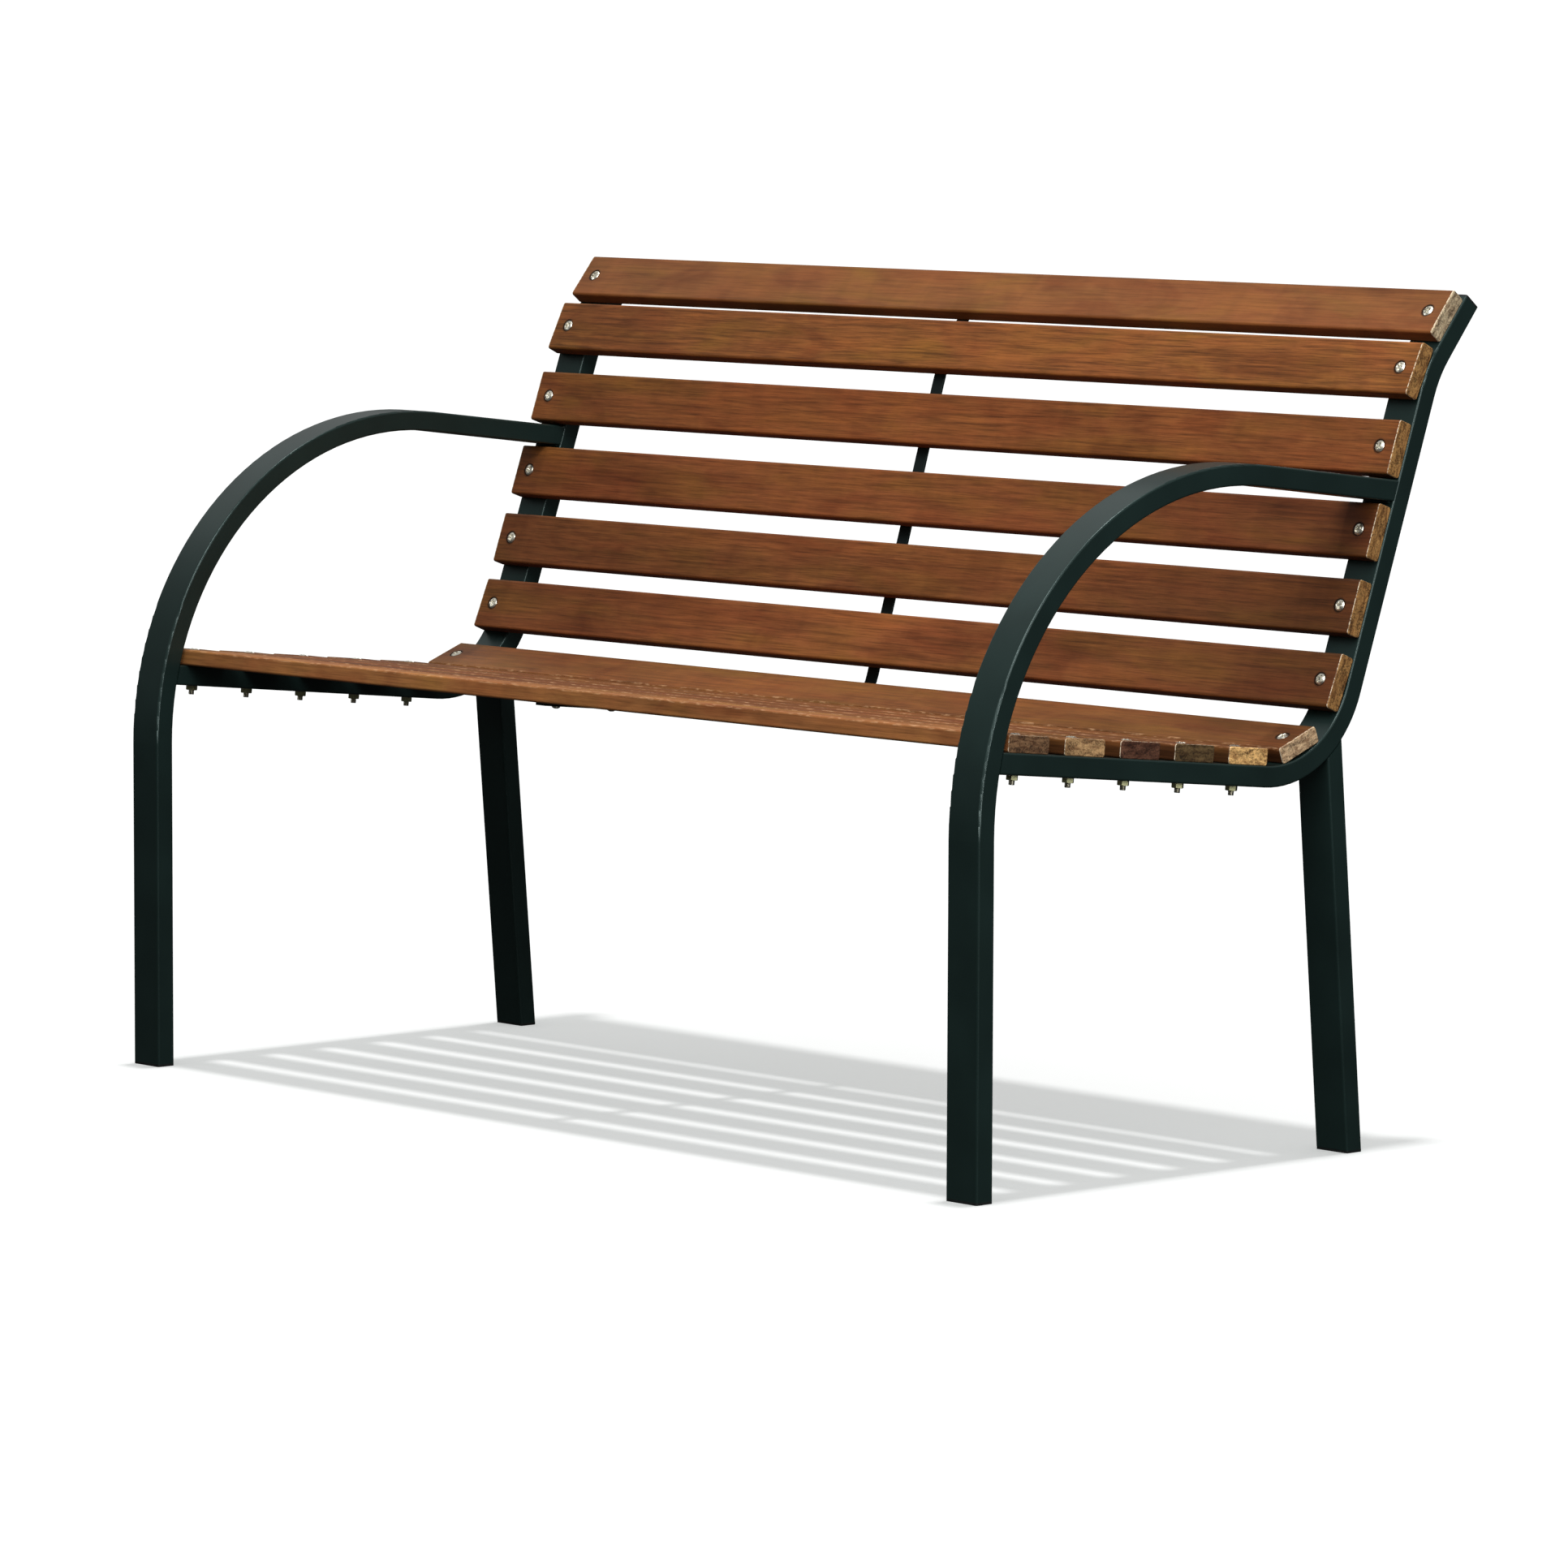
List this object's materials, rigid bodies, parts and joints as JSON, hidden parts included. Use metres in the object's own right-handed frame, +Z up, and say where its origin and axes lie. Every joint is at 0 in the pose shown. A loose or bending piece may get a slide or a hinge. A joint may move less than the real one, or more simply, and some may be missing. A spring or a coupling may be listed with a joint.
{
  "type": "garden bench",
  "caption": "Two-seat garden bench: bent rectangular steel tube side frames with looped armrests, flat timber slats bolted across seat and back, and a flat steel centre strap.",
  "frame": {"origin": "on the floor, under the centre of the bench's bounding box", "axes": "+X along the bench towards its right end as seen by someone facing the bench's front from in front, +Y to the rear, +Z up"},
  "size_m": [1.222, 0.6412, 0.7966],
  "materials": {
    "timber": "reddish brown stain, satin",
    "frame_paint": "dark green-black powder coat",
    "zinc": "bright zinc plate",
    "yellow_zinc": "yellow passivated zinc plate",
    "plug_plastic": "black polyethylene"
  },
  "bodies": {
    "root": {"back_slat_1": "timber", "back_slat_2": "timber", "back_slat_3": "timber", "back_slat_4": "timber", "back_slat_5": "timber", "back_slat_6": "timber", "centre_strap": "frame_paint", "left_back_bolts": "zinc", "left_back_nuts": "yellow_zinc", "left_back_rail": "frame_paint", "left_front_foot_plug": "plug_plastic", "left_front_leg_arm": "frame_paint", "left_rail_end_cap": "plug_plastic", "left_rear_foot_plug": "plug_plastic", "left_rear_leg": "frame_paint", "left_seat_bolts": "zinc", "left_seat_nuts": "yellow_zinc", "left_weld_beads": "frame_paint", "long_strap_screws": "zinc", "right_back_bolts": "zinc", "right_back_nuts": "yellow_zinc", "right_back_rail": "frame_paint", "right_front_foot_plug": "plug_plastic", "right_front_leg_arm": "frame_paint", "right_rail_end_cap": "plug_plastic", "right_rear_foot_plug": "plug_plastic", "right_rear_leg": "frame_paint", "right_seat_bolts": "zinc", "right_seat_nuts": "yellow_zinc", "right_weld_beads": "frame_paint", "seat_slat_1": "timber", "seat_slat_2": "timber", "seat_slat_3": "timber", "seat_slat_4": "timber", "seat_slat_5": "timber", "seat_slat_6": "timber", "strap_screws": "zinc"}
  },
  "joints": []
}
